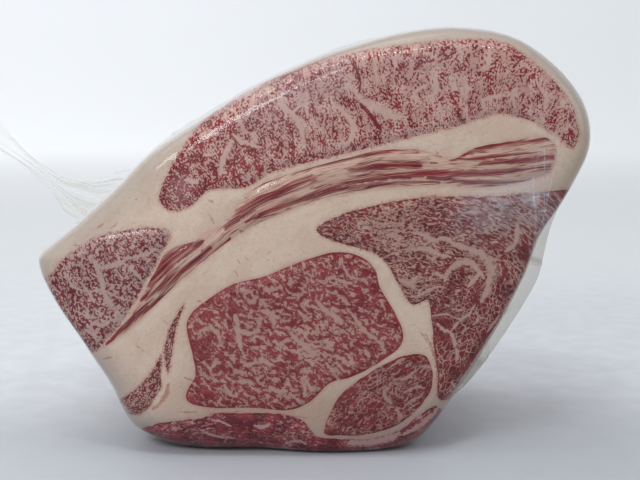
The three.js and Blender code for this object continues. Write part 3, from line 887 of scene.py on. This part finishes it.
class Wire:
    __add__, __radd__ = sign("ADD"), sign("ADD", True)
    __sub__, __rsub__ = sign("SUBTRACT"), sign("SUBTRACT", True)
    __mul__, __rmul__ = sign("MULTIPLY"), sign("MULTIPLY", True)
    __pow__ = sign("POWER")

    def __init__(self, tree, socket=None):
        self.tree = tree
        self.socket = socket

    def node(self, kind, settings=None, sockets=None, out=0):
        made = self.tree.nodes.new("ShaderNode" + kind)
        for name, value in (settings or {}).items():
            setattr(made, name, value)
        for name, value in (sockets or {}).items():
            if isinstance(value, Wire):
                self.tree.links.new(value.socket, made.inputs[name])
            else:
                made.inputs[name].default_value = value
        return Wire(self.tree, made.outputs[out]) if made.outputs else None

    def join(self, operation, first, second):
        def isVector(value):
            return isinstance(value, tuple) or (
                isinstance(value, Wire) and value.socket.type in ("VECTOR", "RGBA"))

        if not (isVector(first) or isVector(second)):
            return self.node("Math", {"operation": operation}, {0: first, 1: second})
        first, second = (value if isVector(value) or isinstance(value, Wire) else (value,) * 3
                         for value in (first, second))
        return self.node("VectorMath", {"operation": operation}, {0: first, 1: second})

    def __abs__(self):
        return self.node("Math", {"operation": "ABSOLUTE"}, {0: self})

    def most(self, other):
        return self.node("Math", {"operation": "MAXIMUM"}, {0: self, 1: other})

    # 0 below low and 1 above high, or the other way round where low is the larger
    def step(self, low, high):
        return self.node("MapRange", {"interpolation_type": "SMOOTHSTEP"},
                         {0: self, 1: low, 2: high, 3: 0.0, 4: 1.0})

    def noise(self, detail=2.0, rough=0.5, out=0):
        return self.node("TexNoise", {}, {"Vector": self, "Scale": 1.0, "Detail": detail,
                                          "Roughness": rough}, out)

    # Distance to the nearest edge of irregular cells
    def cells(self):
        return self.node("TexVoronoi", {"feature": "DISTANCE_TO_EDGE"},
                         {"Vector": self, "Scale": 1.0, "Randomness": 1.0}, "Distance")

    # Thin lines between noise's lumps: 1 on a line and 0 away from it
    def lines(self, width, detail=1.0):
        return abs(self.noise(detail) - 0.5).step(width, width * 0.25)

    def attribute(self, name, out="Fac"):
        return self.node("Attribute", {"attribute_name": name}, {}, out)

    def blend(self, first, second):
        return self.node("Mix", {"data_type": "RGBA"}, {0: self, 6: first, 7: second}, 2)


def newSurface(name):
    material = bpy.data.materials.new(name)
    material.use_nodes = True
    material.node_tree.nodes.clear()
    return material, Wire(material.node_tree)


# A colour given as it looks on a screen, from 0 to 255
def tint(red, green, blue):
    parts = (v / 255 / 12.92 if v <= 10 else ((v / 255 + 0.055) / 1.055) ** 2.4
             for v in (red, green, blue))
    return (*parts, 1.0)


def dress(piece, material):
    piece.data.materials.clear()
    piece.data.materials.append(material)


flesh = {
    "drawnOut": 60.0,  # the patterns run on this far, in mm, along the depth of the block
    "shine": 0.1,
    "rough": 0.45,
    "fatRough": 0.1,
    "relief": (0.3, 0.5),  # height in mm and strength
    "ragged": 4.0,  # how far a vein's side frays, in its own widths
    "raggedPitch": (1.8, 1.4, 4),
    "veinSide": (1.6, 0.65),
    "veinPale": 0.7,
    "threadFray": 0.5,
    "threadSide": (1.3, 0.6),
    "threadRed": 0.95,
    "cloud": (7, 7),
    "leanCloud": (0.38, 0.6),
    "fatCloud": (0.4, 0.62),
}
# Deep is how many times shorter than drawnOut a pattern runs on along the depth
grainy = {
    "grainDeep": 4,
    "brokenDeep": 5,
    "clusterDeep": 1.5,
    "toneShare": 0.045,
    "borderEdge": (2, 0),
    "parting": (11, 11),  # branches show in some places this far apart, and not in others
    "partingFrom": (0.42, 0.52),
}
flecked = {
    "fine": (1.1, 0.9, 6),
    "fleckDeep": 2,
    "patch": (13, 13),
    "toneShare": 0.08,
    "borderEdge": (1.6, 0),
    "meshFray": 2,
    "meshCore": 0.2,
    "meshLeast": 0.1,
    "meshEdge": (0.2, 1.5),
    "net": (10, 10),
    "netFrom": (0.35, 0.6),
}

# What each muscle shows; both slivers share one look. A pattern's first two numbers are its size in mm
# along and across the fibres; then come its strength, its line's width, or where it starts and is full.
# A bend is the pitch and the swing of the bends in all of them.
looks = {
    "cap_muscle": {
        "lean": tint(151, 47, 54), "deep": tint(121, 31, 42), "fat": tint(197, 153, 144),
        "pale": tint(208, 175, 164), "bend": (6.0, 1.2), "grain": (1.8, 1.4), "curl": 0.074,
        "broken": (1.1, 0.9, 0.6), "cluster": (7.0, 4.6, 0.42), "branch": (15.0, 6.0, 0.032),
        "soft": 0.055, "border": 0.0,
    },
    "flank_muscle": {
        "lean": tint(136, 50, 57), "deep": tint(112, 33, 44), "fat": tint(182, 147, 139),
        "pale": tint(192, 166, 157), "bend": (5.0, 1.4), "grain": (2.2, 2.0), "curl": 0.08,
        "broken": (1.3, 1.1, 0.45), "cluster": (7.0, 6.0, 0.24), "branch": (14.0, 9.0, 0.02),
        "soft": 0.05, "border": -0.03,
    },
    "sliver": {
        "lean": tint(127, 45, 52), "deep": tint(106, 31, 42), "fat": tint(179, 141, 130),
        "pale": tint(191, 158, 146), "bend": (5.0, 1.2), "grain": (1.7, 1.1), "curl": 0.1,
        "broken": (1.2, 0.9, 0.35), "cluster": (6.0, 3.0, 0.3), "branch": (9.0, 4.0, 0.02),
        "soft": 0.05, "border": 0.02,
    },
    "eye_muscle": {
        "lean": tint(150, 54, 61), "deep": tint(127, 39, 48), "fat": tint(183, 139, 129),
        "pale": tint(190, 155, 142), "bend": (7.0, 2.2), "fleck": (3.3, 2.3, 0.48, 0.575),
        "patch": 0.16, "fine": 0.36, "mesh": (3.4, 2.2, 0.045, 0.4), "border": -0.1,
    },
    "side_muscle": {
        "lean": tint(130, 42, 47), "deep": tint(106, 28, 35), "fat": tint(182, 144, 132),
        "pale": tint(194, 162, 148), "bend": (6.0, 2.2), "fleck": (2.4, 1.1, 0.52, 0.63),
        "patch": 0.22, "fine": 0.34, "mesh": (3.6, 2.3, 0.085, 0.95), "border": -0.02,
    },
    "lower_muscle": {
        "lean": tint(134, 47, 51), "deep": tint(112, 34, 40), "fat": tint(170, 131, 122),
        "pale": tint(180, 146, 136), "bend": (6.0, 2.0), "fleck": (2.5, 1.3, 0.52, 0.62),
        "patch": 0.16, "fine": 0.32, "mesh": (3.4, 2.2, 0.085, 0.95), "border": -0.03,
    },
    "rib_muscle": {
        "lean": tint(138, 49, 58), "deep": tint(102, 27, 38), "fat": tint(180, 135, 132),
        "pale": tint(193, 155, 149), "bend": (7.0, 2.0), "fleck": (2.6, 1.4, 0.52, 0.68),
        "patch": 0.3, "fine": 0.4, "mesh": (4.0, 2.4, 0.05, 0.35), "border": 0.0,
    },
}
coverFat = {
    "fat": tint(219, 194, 175), "pale": tint(226, 206, 187), "outer": tint(184, 174, 164),
    "blush": tint(191, 122, 112), "blood": tint(167, 79, 70), "shadow": tint(172, 141, 125),
    "yellow": tint(190, 170, 138),
    "relief": (0.8, 0.4),
    "rough": 0.4,
    "cloudRough": 0.25,
    "bend": (12, 3),
    "cloud": (18, 12, 2),
    "cloudFrom": (0.38, 0.62),
    "fine": (2.4, 1.4, 4),
    "shadowHeight": (70, 10),
    "shadowPlace": (-90, -50),
    "shadowShare": 0.7,
    "yellowFrom": (34, 74),
    "yellowSlant": 0.5,
    "outerShare": 0.85,
    "blushEdge": (2.0, 0.0),
    "blushFray": 3,
    "blushShare": 0.3,
    "blushCloud": (0.56, 0.7),
    "blushCloudShare": 0.12,
    "speck": (5.5, 1.8, 3),
    "speckFrom": (0.68, 0.78),
    "speckShare": 0.25,
    "crumb": (1.9, 1.5, 4),
    "crumbEdge": (1.5, 0),
    "crumbWidth": 0.05,
    "crumbSoft": 0.03,
    "crumbShare": 0.7,
    "threadSide": (1.4, 0.3),
    "threadFray": 2.4,
    "threadShare": 0.6,
}
band = {
    "lean": tint(146, 45, 51), "deep": tint(107, 29, 41), "fat": tint(202, 162, 145),
    "pale": tint(212, 182, 164),
    "relief": (0.4, 0.5),
    "rough": 0.42,
    "fibreRough": 0.2,
    "bend": (22, 2.0),
    "fibre": (26, 0.62, 2),
    "fibreFrom": (0.34, 0.5),
    "fray": (24, 1.8, 2),
    "drawnFray": (4.6, 3.4),  # how far the fibres and the fray move a thread's side, in its widths
    "drawnSide": (1.6, 0.7),
    "hair": (22, 1.0, 2),
    "hairWidth": 0.055,
    "hairNear": (7.5, 1.5),
    "hairNearGain": 0.45,
    "hairRed": 0.4,
    "strewn": (9, 3),
    "strewnFrom": (0.38, 0.56),
    "behind": (8.5, 9.0),  # thread is this large where nothing is drawn, behind the cut face
    "behindFibre": (0.66, 0.56),
    "behindRed": 0.8,
    "shade": (22, 1.3),
    "leanCloud": (0.36, 0.62),
    "fatCloud": (0.35, 0.6),
}


# Where the pattern of a piece is looked up: its grain space, bent a little so that nothing is straight
def bentGrain(base, pitch, swing):
    grain = base.attribute("grain", "Vector")
    deep = 1 / flesh["drawnOut"]
    sway = (grain * (1 / pitch, 1 / pitch, deep)).noise(1, out=1) - 0.5
    return grain, grain + sway * swing * 2


# The same space measured in a pattern's own pitch
def pitched(grain, along, across, deep=1.0):
    return grain * (1 / along, 1 / across, deep / flesh["drawnOut"])


# A wet surface; relief is a wire, and its size is a height in mm and a strength
def wet(base, colour, rough, relief, size):
    height, strength = size
    bump = base.node("Bump", {}, {"Height": relief, "Distance": height * mm, "Strength": strength})
    shader = base.node("BsdfPrincipled", {}, {"Base Color": colour, "Roughness": rough, "Normal": bump,
                                              "Specular IOR Level": flesh["shine"]})
    base.node("OutputMaterial", {}, {"Surface": shader})


# A fat share of 0 to 1 made into a surface
def fleshed(base, look, grain, fatness, relief):
    vein = base.attribute("vein")
    thread = base.attribute("thread")
    ragged = (pitched(grain, *flesh["raggedPitch"]).noise(3, 0.65) - 0.5) * flesh["ragged"]
    paleness = (vein + ragged).step(*flesh["veinSide"])
    streak = (thread + ragged * flesh["threadFray"]).step(*flesh["threadSide"])
    fatness = fatness.most(paleness) * (1 - streak * flesh["threadRed"])
    shade = pitched(grain, *flesh["cloud"]).noise(3)
    lean = (shade.step(*flesh["leanCloud"]) * (1 - streak)).blend(look["deep"], look["lean"])
    pale = shade.step(*flesh["fatCloud"]).most(paleness * flesh["veinPale"])
    colour = fatness.blend(lean, pale.blend(look["fat"], look["pale"]))
    wet(base, colour, flesh["rough"] + fatness * flesh["fatRough"], relief, flesh["relief"])


# Red grains and curls on pale fat, in clusters parted by branching veins
def grainySurface(name, look):
    material, base = newSurface(name)
    grain, bent = bentGrain(base, *look["bend"])
    tone = base.attribute("tone")
    edge = base.attribute("edge")
    lump = pitched(bent, *look["grain"], grainy["grainDeep"]).noise(1)
    *pitch, breaks = look["broken"]
    broken = pitched(grain, *pitch, grainy["brokenDeep"]).noise(1)
    *pitch, gather = look["cluster"]
    cluster = pitched(bent, *pitch, grainy["clusterDeep"]).noise(1)
    width = look["curl"] + (cluster - 0.5) * gather + (broken - 0.5) * breaks
    width = width - tone * grainy["toneShare"] + edge.step(*grainy["borderEdge"]) * look["border"]
    lean = (width - abs(lump - 0.5)).step(-look["soft"], look["soft"])
    *pitch, width = look["branch"]
    branch = pitched(bent, *pitch).lines(width)
    parted = pitched(grain, *grainy["parting"]).noise(1).step(*grainy["partingFrom"])
    fatness = 1 - lean * (1 - branch * parted)
    fleshed(base, look, grain, fatness, fatness * 0.6 + cluster * 0.4)
    return material


# Lean meat with flecks of fat along its fibres and a fine mesh of fat round its bundles
def fleckedSurface(name, look):
    material, base = newSurface(name)
    grain, bent = bentGrain(base, *look["bend"])
    tone = base.attribute("tone")
    edge = base.attribute("edge")
    fine = pitched(bent, *flecked["fine"]).noise(2)
    *pitch, start, full = look["fleck"]
    lump = pitched(bent, *pitch, flecked["fleckDeep"]).noise(4, 0.62)
    patch = pitched(grain, *flecked["patch"]).noise(1)
    gather = lump + (fine - 0.5) * look["fine"] + (patch - 0.5) * look["patch"]
    gather = gather + tone * flecked["toneShare"]
    fatness = (gather + edge.step(*flecked["borderEdge"]) * look["border"]).step(start, full)
    *pitch, width, amount = look["mesh"]
    cells = pitched(bent, *pitch).cells()
    mesh = (cells + (fine - 0.5) * width * flecked["meshFray"]).step(width, width * flecked["meshCore"])
    strong = pitched(grain, *flecked["net"]).noise(1).step(*flecked["netFrom"])
    strong = strong * amount + flecked["meshLeast"]
    fatness = fatness.most(mesh * strong * edge.step(*flecked["meshEdge"]))
    fleshed(base, look, grain, fatness, fatness * 0.5 + fine * 0.5)
    return material


# The band of long fibres between the cap and the eye
def bandSurface(name, look):
    material, base = newSurface(name)
    grain, bent = bentGrain(base, *look["bend"])
    thread = base.attribute("thread")
    fibres = pitched(bent, *look["fibre"]).noise(3, 0.6)
    fray = pitched(bent, *look["fray"]).noise(2)
    strewn = pitched(grain, *look["strewn"]).noise(1).step(*look["strewnFrom"])
    hairs = pitched(bent, *look["hair"]).lines(look["hairWidth"], 1.5) * strewn
    byFibre, byFray = look["drawnFray"]
    drawn = (thread + (fibres - 0.5) * byFibre + (fray - 0.5) * byFray).step(*look["drawnSide"])
    redness = drawn * (fibres.step(*look["fibreFrom"]) * 0.5 + 0.5)
    hairRed = thread.step(*look["hairNear"]) * look["hairNearGain"] + look["hairRed"]
    redness = redness.most(hairs * hairRed)
    hidden = (fibres * 0.7 + fray * 0.5).step(*look["behindFibre"]) * look["behindRed"]
    redness = redness.most(thread.step(*look["behind"]) * hidden)
    shade = pitched(grain, *look["shade"]).noise(3)
    lean = shade.step(*look["leanCloud"]).blend(look["deep"], look["lean"])
    fat = shade.step(*look["fatCloud"]).blend(look["fat"], look["pale"])
    rough = look["rough"] + fibres * look["fibreRough"]
    wet(base, redness.blend(fat, lean), rough, fibres, look["relief"])
    return material


def fatSurface(name, look):
    material, base = newSurface(name)
    grain, bent = bentGrain(base, *look["bend"])
    edge = base.attribute("edge")
    thread = base.attribute("thread")
    outer = base.attribute("tone")
    cloudy = pitched(grain, *look["cloud"]).noise(3, 0.55)
    fine = pitched(grain, *look["fine"]).noise(3)
    fat = cloudy.step(*look["cloudFrom"]).blend(look["fat"], look["pale"])
    place = base.node("TexCoord", {}, {}, "Object") * (1 / mm)
    right, high = (base.node("SeparateXYZ", {}, {0: place}, way) for way in "XZ")
    shaded = high.step(*look["shadowHeight"]) * right.step(*look["shadowPlace"])
    fat = (shaded * look["shadowShare"]).blend(fat, look["shadow"])
    yellow = (right - high * look["yellowSlant"]).step(*look["yellowFrom"])
    fat = (outer * look["outerShare"]).blend(fat, yellow.blend(look["outer"], look["yellow"]))
    blush = (edge + (fine - 0.5) * look["blushFray"]).step(*look["blushEdge"]) * look["blushShare"]
    blush = blush + (1 - outer) * cloudy.step(*look["blushCloud"]) * look["blushCloudShare"]
    specks = pitched(bent, *look["speck"]).noise(1).step(*look["speckFrom"]) * look["speckShare"]
    crumbs = base.attribute("vein").step(*look["crumbEdge"]) * look["crumbWidth"]
    crumbs = crumbs - abs(pitched(bent, *look["crumb"]).noise(1) - 0.5)
    crumbs = crumbs.step(-look["crumbSoft"], look["crumbSoft"]) * look["crumbShare"]
    threads = (thread + (fine - 0.5) * look["threadFray"]).step(*look["threadSide"])
    redness = specks.most(crumbs).most(threads * look["threadShare"])
    colour = redness.blend(blush.blend(fat, look["blush"]), look["blood"])
    rough = look["rough"] + cloudy * look["cloudRough"]
    wet(base, colour, rough, cloudy * 0.7 + fine * 0.3, look["relief"])
    return material


def surfaceOf(name):
    if name == "fat":
        return fatSurface("cover_fat", coverFat)
    if name == "layered_muscle":
        return bandSurface("long_fibre_band", band)
    look = looks.get(name, looks["sliver"])
    kind = grainySurface if "curl" in look else fleckedSurface
    return kind("marbled_" + name.replace("_muscle", ""), look)


# The film's patterns, in all three looks; their sizes in mm are to the right, back and up
filmPattern = {
    "ripple": (11, 36, 11),
    "crinkle": (4, 9, 4),
    "cloud": (6, 14, 6),
    "cloudFrom": (0.3, 0.7),
    "streak": (9, 30, 1.6),
    "streakFrom": (0.36, 0.62),
    "hazeCloud": 0.5,
    "hazeStreak": 0.8,
    "hazeLeast": 0.1,
    "relief": 0.5,
    "pleatRelief": 0.3,
    "slantMilk": 3,
    "plainMilk": 0.4,
    "cloudRough": 0.05,
}


def filmSurface(name, look):
    material, base = newSurface(name)
    place = base.node("TexCoord", {}, {}, "Object") * (1 / mm)

    def pattern(kind, detail, rough=0.5):
        return (place * tuple(1 / size for size in filmPattern[kind])).noise(detail, rough)

    pleat = base.attribute("pleat")
    haze = base.attribute("haze")
    height = pattern("ripple", 2, 0.45) * look["ripple"] + pattern("crinkle", 2) * look["crinkle"]
    height = height + pleat * filmPattern["pleatRelief"]
    relief = filmPattern["relief"] * mm
    bump = base.node("Bump", {}, {"Height": height, "Distance": relief, "Strength": 1.0})
    clear = base.node("BsdfTransparent", {}, {"Color": look["clear"]})
    milky = base.node("BsdfDiffuse", {}, {"Color": look["milk"], "Normal": bump})
    cloudy = pattern("cloud", 3, 0.6).step(*filmPattern["cloudFrom"])
    streaks = pattern("streak", 3, 0.6).step(*filmPattern["streakFrom"])
    facing = base.node("LayerWeight", {}, {"Blend": 0.5, "Normal": bump}, "Facing")
    hazy = cloudy * filmPattern["hazeCloud"] + streaks * filmPattern["hazeStreak"]
    milk = haze * (hazy + filmPattern["hazeLeast"]) + pleat * look["pleatMilk"]
    slanting = facing ** 2 * filmPattern["slantMilk"] + filmPattern["plainMilk"]
    milk = milk + slanting * look["milkiness"]
    body = base.node("MixShader", {}, {0: milk, 1: clear, 2: milky})
    rough = look["rough"] + cloudy * filmPattern["cloudRough"]
    gloss = base.node("BsdfAnisotropic", {}, {"Color": (1, 1, 1, 1), "Roughness": rough,
                                              "Normal": bump})
    straight, grazing = look["sheen"]
    shader = base.node("MixShader", {}, {0: facing ** 5 * grazing + straight, 1: body, 2: gloss})
    base.node("OutputMaterial", {}, {"Surface": shader})
    return material


skinLook = {"ripple": 0.75, "crinkle": 0.02, "clear": (0.95, 0.945, 0.942, 1), "sheen": (0.023, 0.9),
            "milk": tint(226, 224, 230), "milkiness": 0.004, "pleatMilk": 0.4, "rough": 0.045}
looseLook = {"ripple": 0.2, "crinkle": 0.02, "clear": (0.998, 0.998, 0.996, 1), "sheen": (0.004, 0.3),
             "milk": tint(238, 234, 222), "milkiness": 0.03, "pleatMilk": 0.3, "rough": 0.15}
webLook = {"ripple": 0.6, "crinkle": 0.1, "clear": (0.99, 0.985, 0.965, 1), "sheen": (0.01, 0.35),
           "milk": tint(206, 200, 182), "milkiness": 0.12, "pleatMilk": 0.4, "rough": 0.1}

say("mixing the surfaces")
for name, piece in pieces.items():
    dress(piece, surfaceOf(name))
    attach(piece, "root")
    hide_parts(name)
    "sliver_muscle" if "sliver" in name else name

dress(skin, filmSurface("film_on_meat", skinLook))
dress(tailFilm, filmSurface("film_of_the_tail", looseLook))
dress(bridgeFilm, filmSurface("film_off_the_flank", webLook))
for piece, node in ((tailFilm, "bag_tail"), (bridgeFilm, "bag_bridge")):
    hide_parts(node)
for piece in (skin, tailFilm, bridgeFilm):
    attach(piece, "root")
discard(blank)


# The studio: a pale table that curves up into a pale wall all round, soft light, the camera

studio = {
    "floorAt": -0.4,
    "radius": 2400,
    "curve": 700,
    "curveSteps": 10,
    "wallTop": 1900,
    "around": 96,
    # front is painted shade: a darker colour for the strip of table nearest the camera, standing in for
    # shade there
    "front": tint(186, 191, 198),
    "near": tint(228, 232, 238),
    "speck": tint(218, 222, 227),
    "far": tint(246, 248, 250),
    "rough": 0.5,
    "speckRough": 0.1,
    "specksPerMetre": 60,
    "speckFrom": (0.2, 0.8),
    "frontShadeShare": 0.85,
    "reachShare": 0.35,  # the table also pales with the distance from its middle
    # where along Y or X, in metres, a change in the table or the wall starts and is full
    "frontShadeEdge": (0.08, -0.1),
    "farEdge": (0.0, 1.2),
    "glowEdge": (0.6, 2.6),
    "dimEdge": (-1.2, 1.4),
    "ambient": ((0.93, 0.965, 1.0, 1), 0.4),
    "glow": 0.39,
    "glowTint": (0.97, 0.98, 1, 1),
    "creaseAngle": 40,
    "dimmer": 0.45,  # the wall's glow, a painted light, is this much weaker at its right end, a painted shade as of light from the left
}
lights = {
    "overhead": {"at": (-550, 450, 1650), "toward": (0, 0, 60), "size": (1300, 1300), "watts": 7},
    "fill": {"at": (-700, -1900, 800), "toward": (0, 0, 110), "size": (1400, 1400), "watts": 5},
    "key": {"at": (-430, -720, 660), "toward": (0, 0, 110), "size": (420, 240), "watts": 2.7},
    "side": {"at": (1500, -400, 800), "toward": (0, 0, 110), "size": (900, 900), "watts": 3},
    "tube": {"at": (-250, -420, 1300), "toward": (0, 0, 180), "size": (900, 45), "watts": 3.2},
    "tubeRight": {"at": (480, -300, 1250), "toward": (0, 0, 180), "size": (500, 45), "watts": 1.6},
}
view = {"at": (4, -693.8, 200), "toward": (4, -60, 111), "lens": 68.7, "sensor": 36}


def buildStudio():
    bpy.ops.object.select_all(action="DESELECT")
    bpy.ops.mesh.primitive_circle_add(vertices=studio["around"], fill_type="NGON",
                                      radius=studio["radius"] * mm,
                                      location=(0, 0, studio["floorAt"] * mm))
    floor = bpy.context.object
    floor.name = "studio_table"
    bpy.ops.object.transform_apply(location=True)
    editing(True)
    bpy.ops.mesh.select_all(action="SELECT")
    bend = [math.pi / 2 * i / studio["curveSteps"] for i in range(studio["curveSteps"] + 1)]
    rings = [(studio["radius"] + studio["curve"] * math.sin(a), studio["curve"] * (1 - math.cos(a)))
             for a in bend] + [(studio["radius"] + studio["curve"], studio["wallTop"])]
    for (reach, height), (nextReach, nextHeight) in zip(rings, rings[1:]):
        rise = (nextHeight - height) * mm
        bpy.ops.mesh.extrude_region_move(TRANSFORM_OT_translate={"value": (0, 0, rise)})
        grow = nextReach / reach
        bpy.ops.transform.resize(value=(grow, grow, 1), center_override=(0, 0, 0))
    bpy.ops.mesh.delete(type="ONLY_FACE")
    bpy.ops.mesh.select_all(action="SELECT")
    bpy.ops.mesh.normals_make_consistent(inside=True)
    editing(False)
    bpy.ops.object.shade_smooth_by_angle(angle=math.radians(studio["creaseAngle"]))
    material, base = newSurface("pale_table")
    place = base.node("TexCoord", {}, {}, "Object")
    reach = base.node("VectorMath", {"operation": "LENGTH"}, {0: place}, "Value")
    back, right = (base.node("SeparateXYZ", {}, {0: place}, way) for way in "YX")
    glow = back.step(*studio["glowEdge"]) * (1 - right.step(*studio["dimEdge"]) * studio["dimmer"])
    speckle = (place * studio["specksPerMetre"]).noise(3)
    near = speckle.step(*studio["speckFrom"]).blend(studio["near"], studio["speck"])
    # Painted shade: the table darkens toward the camera, to the front colour
    near = (back.step(*studio["frontShadeEdge"]) * studio["frontShadeShare"]).blend(near, studio["front"])
    far = (back + reach * studio["reachShare"]).step(*studio["farEdge"])
    shader = base.node("BsdfPrincipled", {}, {
        "Base Color": far.blend(near, studio["far"]),
        "Roughness": studio["rough"] + speckle * studio["speckRough"],
        "Emission Color": glow.blend((0, 0, 0, 1), studio["glowTint"]),
        "Emission Strength": studio["glow"]})
    base.node("OutputMaterial", {}, {"Surface": shader})
    dress(floor, material)


def aim(thing, place, toward):
    thing.location = Vector(place) * mm
    thing.rotation_euler = (Vector(toward) - Vector(place)).to_track_quat("-Z", "Y").to_euler()


def buildLights():
    for name, light in lights.items():
        data = bpy.data.lights.new(name, "AREA")
        data.shape = "RECTANGLE"
        data.size, data.size_y = (side * mm for side in light["size"])
        data.energy = light["watts"]
        lamp = bpy.data.objects.new(name, data)
        bpy.context.collection.objects.link(lamp)
        aim(lamp, light["at"], light["toward"])
    world = bpy.data.worlds.new("pale_room")
    world.use_nodes = True
    colour, strength = studio["ambient"]
    background = world.node_tree.nodes["Background"]
    background.inputs["Color"].default_value = colour
    background.inputs["Strength"].default_value = strength
    bpy.context.scene.world = world


def buildCamera():
    camera = bpy.data.objects.new("camera", bpy.data.cameras.new("camera"))
    bpy.context.collection.objects.link(camera)
    camera.data.lens = view["lens"]
    camera.data.sensor_width = view["sensor"]
    aim(camera, view["at"], view["toward"])
    bpy.context.scene.camera = camera


buildStudio()
buildLights()
buildCamera()
bpy.context.scene.view_settings.view_transform = "Standard"
say("table, lights and camera are set")
